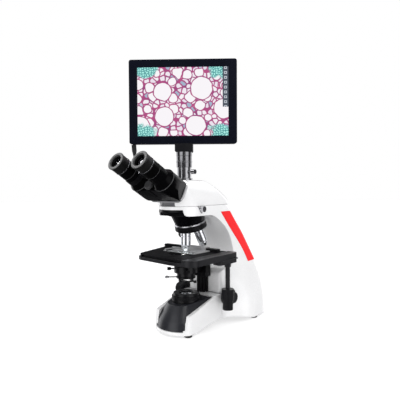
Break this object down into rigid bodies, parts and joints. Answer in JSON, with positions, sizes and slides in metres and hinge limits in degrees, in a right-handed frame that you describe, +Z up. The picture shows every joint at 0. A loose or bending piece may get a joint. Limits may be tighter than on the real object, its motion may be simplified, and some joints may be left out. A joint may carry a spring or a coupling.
{
  "type": "digital microscope",
  "caption": "Upright trinocular microscope with a swivelling screen on its photo tube, mechanical stage, turret and focus drive.",
  "frame": {"origin": "on the optical axis of the working objective, in the plane that the feet stand on", "axes": "+Z up along the optical axis, +X to the user's right, -Y towards the user"},
  "size_m": [0.2097, 0.4087, 0.5893],
  "materials": {
    "enamel_white": "gloss white enamel on cast aluminium",
    "stripe_red": "red inlay, satin",
    "cover_black": "gloss black moulding",
    "bare_aluminium": "plain",
    "satin_black": "satin black",
    "lens_glass": "coated glass",
    "knurled_black": "satin black, knurled",
    "plate_grey": "matt grey paint",
    "rubber_black": "matt",
    "socket_black": "matt",
    "switch_black": "gloss",
    "knob_black": "satin",
    "slide_black": "satin black",
    "shaft_steel": "turned",
    "fine_knob_black": "satin",
    "stage_black": "satin black",
    "stage_top_black": "hard black coating",
    "holder_steel": "satin nickel",
    "slide_glass": "clear",
    "condenser_black": "satin black",
    "iris_black": "satin black",
    "screw_chrome": "bright",
    "nosepiece_black": "gloss black",
    "turret_black": "satin black",
    "objective_chrome": "satin chrome",
    "objective_black": "satin black",
    "flange_grey": "satin grey",
    "dial_grey": "satin grey",
    "binocular_black": "satin black",
    "eyepiece_black": "satin black",
    "eyecup_rubber": "matt",
    "eye_glass": "coated glass",
    "tube_black": "gloss black anodised",
    "adapter_black": "gloss black anodised",
    "block_black": "satin black",
    "bezel_black": "gloss black",
    "display": "lit display",
    "shell_black": "satin",
    "circuit_green": "solder mask",
    "antenna_black": "matt"
  },
  "bodies": {
    "stand": {"stand_casting": "enamel_white", "side_stripes": "stripe_red", "nose_cover": "cover_black", "lamp_module": "bare_aluminium", "collector_housing": "satin_black", "field_lens": "lens_glass", "bottom_plate": "plate_grey", "rubber_feet": "rubber_black", "power_inlet": "socket_black", "focus_guide": "slide_black", "nosepiece_mount": "nosepiece_black"},
    "power_switch": {"power_rocker": "switch_black"},
    "lamp_dial": {"brightness_knob": "knob_black"},
    "field_diaphragm": {"field_diaphragm_ring": "knurled_black"},
    "coarse_drive": {"coarse_shaft": "shaft_steel", "coarse_knobs": "knob_black"},
    "fine_drive": {"fine_focus_spindle": "fine_knob_black"},
    "stage_carriage": {"stage_carrier": "slide_black", "stage_lower_plate": "stage_black"},
    "stage_table": {"stage_upper_plate": "stage_top_black", "stage_x_rail": "slide_black"},
    "slide_carrier": {"slide_holder": "holder_steel", "specimen_slide": "slide_glass"},
    "slide_clip": {"slide_finger": "holder_steel"},
    "stage_y_drive": {"stage_y_knob": "knob_black"},
    "stage_x_drive": {"stage_x_knob": "knob_black"},
    "condenser": {"condenser_holder": "satin_black", "condenser_body": "condenser_black", "condenser_lenses": "lens_glass", "centring_screws": "screw_chrome"},
    "condenser_drive": {"condenser_knob": "knob_black"},
    "iris": {"iris_ring": "iris_black"},
    "filter": {"filter_holder": "satin_black"},
    "turret": {"turret_body": "turret_black", "turret_grip": "knurled_black", "objectives": "objective_chrome", "objective_4x": "objective_black"},
    "head": {"head_housing": "enamel_white", "head_front_flange": "flange_grey", "hinge_axle": "dial_grey", "photo_tube": "tube_black"},
    "head_clamp": {"head_clamp_screw": "screw_chrome"},
    "light_path_slide": {"beam_splitter": "satin_black"},
    "binocular_right": {"binocular_housing_right": "binocular_black", "eyepiece_right": "eyepiece_black", "eyecup_right": "eyecup_rubber", "eye_lens_right": "eye_glass"},
    "binocular_left": {"binocular_housing_left": "binocular_black", "eyepiece_left": "eyepiece_black", "eyecup_left": "eyecup_rubber", "eye_lens_left": "eye_glass"},
    "diopter": {"diopter_ring": "knurled_black"},
    "tube_clamp": {"photo_tube_screw": "screw_chrome"},
    "screen": {"camera_adapter": "adapter_black", "camera_block": "block_black", "screen_bezel": "bezel_black", "display_panel": "display", "screen_back_shell": "shell_black", "screen_electronics": "circuit_green", "screen_antenna": "antenna_black"}
  },
  "joints": [
    {"name": "rocker_tilt", "type": "hinge", "parent": "stand", "child": "power_switch", "pos_m": [0.023, 0.221, 0.0315], "axis": [1, 0, 0], "range_deg": [0, 8]},
    {"name": "lamp_dial_turn", "type": "hinge", "parent": "stand", "child": "lamp_dial", "pos_m": [-0.055, 0.046, 0.032], "axis": [1, 0, 0], "range_deg": [0, 270]},
    {"name": "diaphragm_turn", "type": "hinge", "parent": "stand", "child": "field_diaphragm", "pos_m": [0, 0, 0.0726], "axis": [0, 0, 1], "range_deg": [0, 90]},
    {"name": "stage_height", "type": "slide", "parent": "stand", "child": "stage_carriage", "axis": [0, 0, 1], "range_m": [-0.015, 0.001]},
    {"name": "coarse_turn", "type": "hinge", "parent": "stand", "child": "coarse_drive", "pos_m": [0, 0.068, 0.068], "axis": [1, 0, 0], "range_deg": [-160, 160]},
    {"name": "fine_turn", "type": "hinge", "parent": "stand", "child": "fine_drive", "pos_m": [0, 0.068, 0.068], "axis": [1, 0, 0], "continuous": true},
    {"name": "stage_y", "type": "slide", "parent": "stage_carriage", "child": "stage_table", "axis": [0, 1, 0], "range_m": [-0.018, 0.018]},
    {"name": "y_knob_turn", "type": "hinge", "parent": "stage_carriage", "child": "stage_y_drive", "pos_m": [0.0894, 0.033, 0.084], "axis": [0, 0, 1], "range_deg": [-180, 180]},
    {"name": "slide_x", "type": "slide", "parent": "stage_table", "child": "slide_carrier", "axis": [1, 0, 0], "range_m": [-0.018, 0.018]},
    {"name": "x_knob_turn", "type": "hinge", "parent": "stage_carriage", "child": "stage_x_drive", "pos_m": [0.0894, 0.033, 0.06], "axis": [0, 0, 1], "range_deg": [-180, 180]},
    {"name": "clip_open", "type": "hinge", "parent": "slide_carrier", "child": "slide_clip", "pos_m": [-0.042, 0.022, 0.174], "axis": [0, 0, 1], "range_deg": [-28, 0], "stiffness_Nm_per_rad": 0.02, "springref_deg": 11.46},
    {"name": "condenser_height", "type": "slide", "parent": "stage_carriage", "child": "condenser", "axis": [0, 0, 1], "range_m": [-0.006, 0]},
    {"name": "condenser_knob_turn", "type": "hinge", "parent": "stage_carriage", "child": "condenser_drive", "pos_m": [-0.042, 0.046, 0.128], "axis": [1, 0, 0], "range_deg": [-90, 90]},
    {"name": "iris_turn", "type": "hinge", "parent": "condenser", "child": "iris", "pos_m": [0, 0, 0.1155], "axis": [0, 0, 1], "range_deg": [-20, 60]},
    {"name": "filter_swing", "type": "hinge", "parent": "condenser", "child": "filter", "pos_m": [-0.0245, 0.008, 0.108], "axis": [0, 0, 1], "range_deg": [-100, 0]},
    {"name": "turret_turn", "type": "hinge", "parent": "stand", "child": "turret", "pos_m": [0, 0.0198, 0.21731], "axis": [0, 0.2588, -0.9659], "continuous": true},
    {"name": "head_turn", "type": "hinge", "parent": "stand", "child": "head", "pos_m": [0, 0, 0.273], "axis": [0, 0, 1], "continuous": true},
    {"name": "head_clamp_turn", "type": "hinge", "parent": "stand", "child": "head_clamp", "pos_m": [0.056, -0.0056, 0.2666], "axis": [1, 0, 0], "range_deg": [-180, 180]},
    {"name": "light_path_pull", "type": "slide", "parent": "head", "child": "light_path_slide", "axis": [1, 0, 0], "range_m": [-0.012, 0]},
    {"name": "ipd_right", "type": "hinge", "parent": "head", "child": "binocular_right", "pos_m": [0, -0.0871, 0.30431], "axis": [0, -0.866, 0.5], "range_deg": [-12, 21]},
    {"name": "ipd_left", "type": "hinge", "parent": "head", "child": "binocular_left", "pos_m": [0, -0.0871, 0.30431], "axis": [0, -0.866, 0.5], "range_deg": [-21, 12]},
    {"name": "diopter_turn", "type": "hinge", "parent": "binocular_left", "child": "diopter", "pos_m": [-0.03285, -0.11834, 0.3362], "axis": [0, -0.866, 0.5], "range_deg": [-120, 120]},
    {"name": "tube_clamp_turn", "type": "hinge", "parent": "head", "child": "tube_clamp", "pos_m": [0.026, -0.0035, 0.346], "axis": [1, 0, 0], "range_deg": [-180, 180]},
    {"name": "screen_turn", "type": "hinge", "parent": "head", "child": "screen", "pos_m": [0, -0.0035, 0.36], "axis": [0, 0, 1], "range_deg": [-160, 160]}
  ],
  "couplings": [
    {"joint": "coarse_turn", "follows": "stage_height", "rad_per_m": -166.67},
    {"joint": "y_knob_turn", "follows": "stage_y", "rad_per_m": 166.67},
    {"joint": "x_knob_turn", "follows": "slide_x", "rad_per_m": 166.67},
    {"joint": "condenser_knob_turn", "follows": "condenser_height", "rad_per_m": 166.67},
    {"joint": "ipd_left", "follows": "ipd_right", "ratio": -1}
  ]
}
